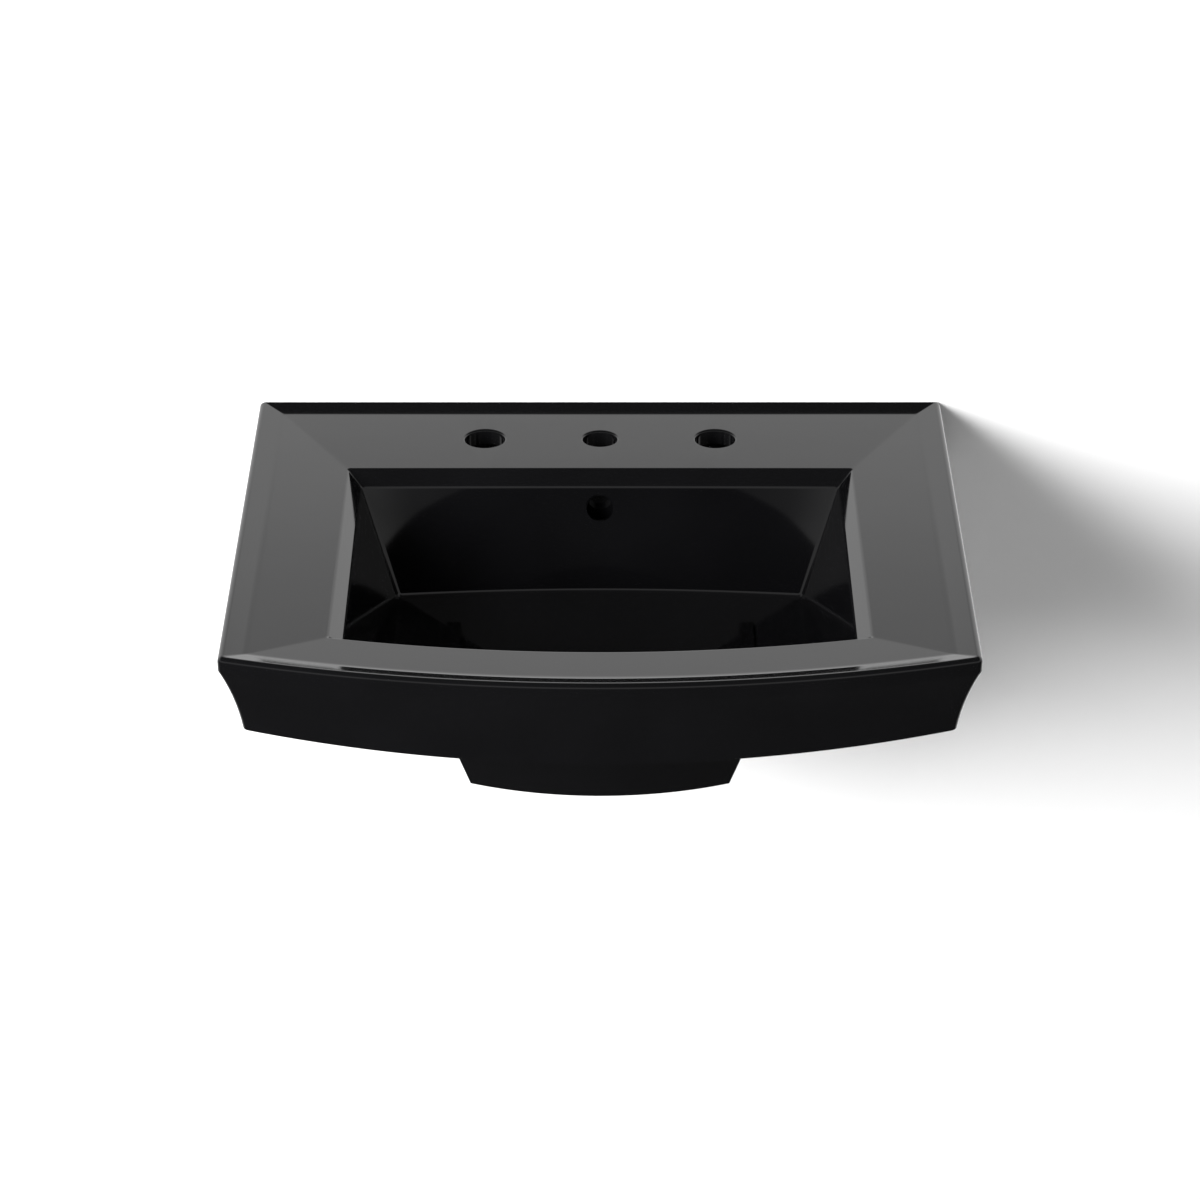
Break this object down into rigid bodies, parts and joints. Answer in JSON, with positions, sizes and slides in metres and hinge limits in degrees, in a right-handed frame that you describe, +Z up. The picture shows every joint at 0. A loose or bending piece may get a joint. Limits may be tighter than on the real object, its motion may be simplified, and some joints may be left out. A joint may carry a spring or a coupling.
{
  "type": "pedestal sink basin",
  "caption": "Glossy black china wash basin with a bowed front, raised rim, faucet ledge, coved apron and pedestal foot, with a push-open drain and wall bolts.",
  "frame": {"origin": "on the wall plane, midway between the two wall bolts", "axes": "+Z up, +Y into the wall, the bowed front faces -Y, X along the wall"},
  "size_m": [0.6096, 0.5757, 0.2264],
  "materials": {
    "china": "high-gloss black glaze",
    "chrome": "polished chrome plate",
    "brass": "machined",
    "rubber": "matte moulded",
    "latch_plastic": "moulded acetal",
    "washer_plastic": "moulded nylon",
    "spring_steel": "drawn stainless wire",
    "zinc_steel": "zinc plated"
  },
  "bodies": {
    "root": {"basin": "china", "drain_body": "chrome", "flange_gasket": "rubber", "latch_barrel": "latch_plastic", "latch_spring": "spring_steel", "cone_gasket": "rubber", "slip_washer": "washer_plastic", "drain_locknut": "brass", "wall_studs": "zinc_steel", "wall_bushings": "washer_plastic", "wall_washers": "zinc_steel", "wall_nuts": "zinc_steel"},
    "stopper": {"stopper_cap": "chrome", "stopper_ring": "rubber", "stopper_stem": "brass", "latch_plunger": "latch_plastic"},
    "cam": {"latch_cam": "latch_plastic"}
  },
  "joints": [
    {"name": "stopper_lift", "type": "slide", "parent": "root", "child": "stopper", "axis": [0, 0, 1], "range_m": [0, 0.009], "deforming": ["latch_spring"]},
    {"name": "latch_index", "type": "hinge", "parent": "stopper", "child": "cam", "pos_m": [0, -0.282, -0.1], "axis": [0, 0, 1], "range_deg": [0, 45]}
  ],
  "couplings": [
    {"joint": "latch_index", "follows": "stopper_lift", "rad_per_m": 87.266}
  ]
}
